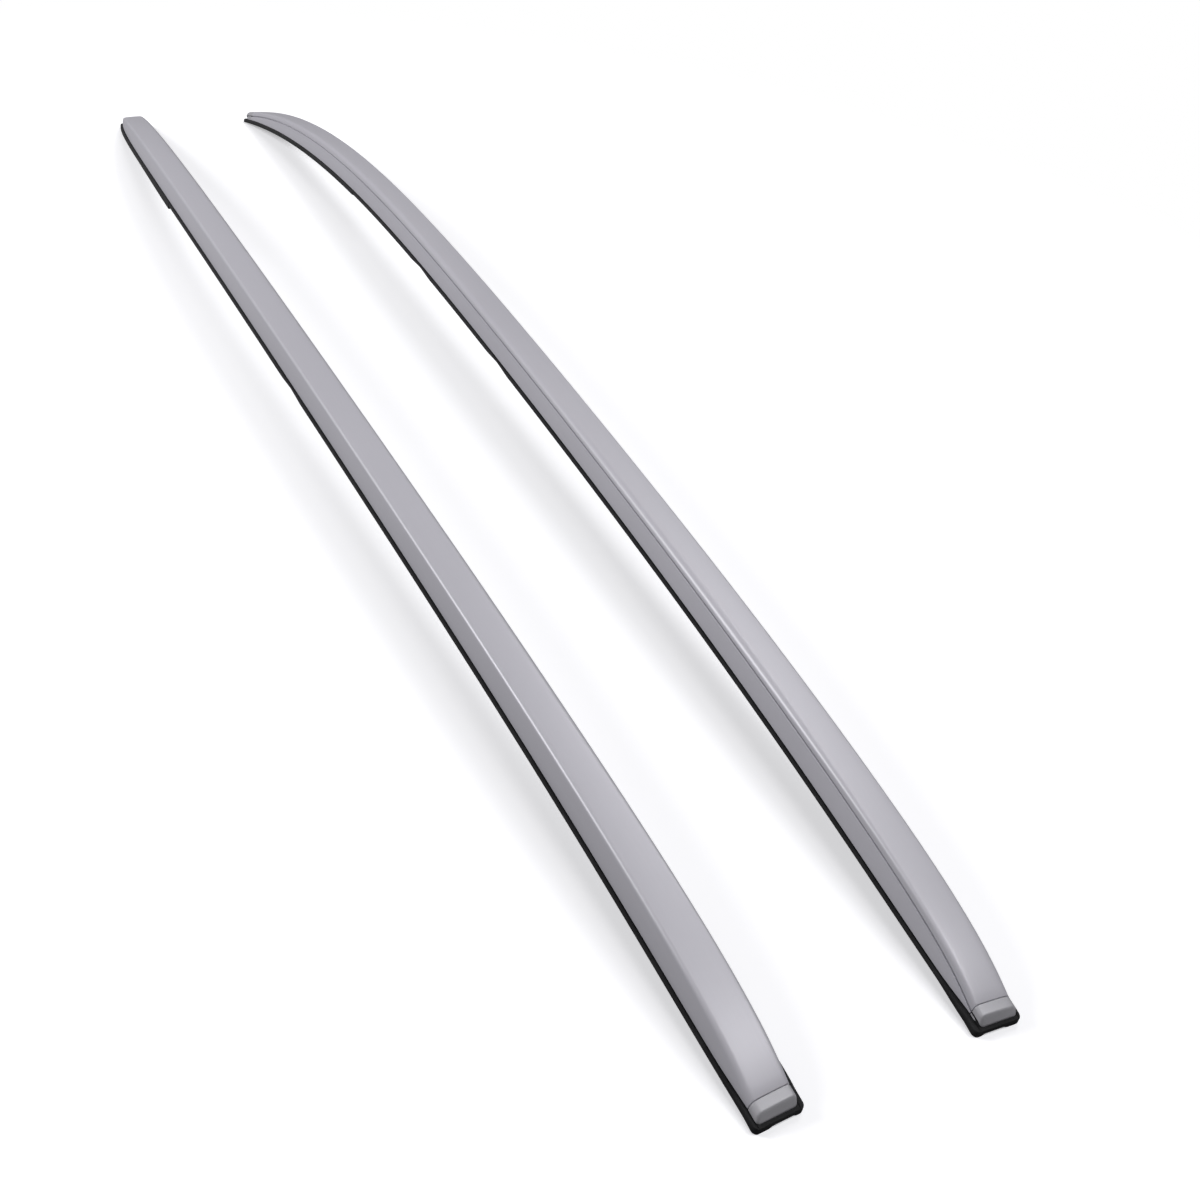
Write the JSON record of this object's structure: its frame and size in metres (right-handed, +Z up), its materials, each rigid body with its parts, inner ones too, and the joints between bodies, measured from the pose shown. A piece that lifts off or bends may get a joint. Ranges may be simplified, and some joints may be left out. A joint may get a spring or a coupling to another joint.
{
  "type": "roof side rail pair",
  "caption": "Mirrored pair of long bent vehicle roof side rails: hollow light metal extrusions with tapered ends, inner clamping groove, plastic end caps and rubber base seals",
  "frame": {"origin": "on the ground, in the middle between the two rails and between their front and rear ends", "axes": "+X across the pair to the right rail, +Y along the rails to their rear ends, +Z up"},
  "size_m": [0.3256, 2, 0.103],
  "materials": {
    "rail_metal": "satin silver, anodised",
    "cap_plastic": "satin silver, painted to match the rail",
    "seal_rubber": "matt black",
    "foot_metal": "as cast",
    "fixing_steel": "zinc plated",
    "foam": "closed cell foam"
  },
  "bodies": {
    "root": {"rail_profile_left": "rail_metal", "rail_profile_right": "rail_metal", "front_cap_left": "cap_plastic", "front_cap_right": "cap_plastic", "rear_cap_left": "cap_plastic", "rear_cap_right": "cap_plastic", "front_pad_left": "seal_rubber", "front_pad_right": "seal_rubber", "front_seal_left": "seal_rubber", "front_seal_right": "seal_rubber", "rear_seal_left": "seal_rubber", "rear_seal_right": "seal_rubber", "rear_pad_left": "seal_rubber", "rear_pad_right": "seal_rubber", "front_foot_left": "foot_metal", "front_foot_right": "foot_metal", "middle_feet_left": "foot_metal", "middle_feet_right": "foot_metal", "rear_foot_left": "foot_metal", "rear_foot_right": "foot_metal", "threaded_inserts_left": "fixing_steel", "threaded_inserts_right": "fixing_steel", "slide_nuts_left": "fixing_steel", "slide_nuts_right": "fixing_steel", "foot_screws_left": "fixing_steel", "foot_screws_right": "fixing_steel", "foam_rings_left": "foam", "foam_rings_right": "foam"}
  },
  "joints": []
}
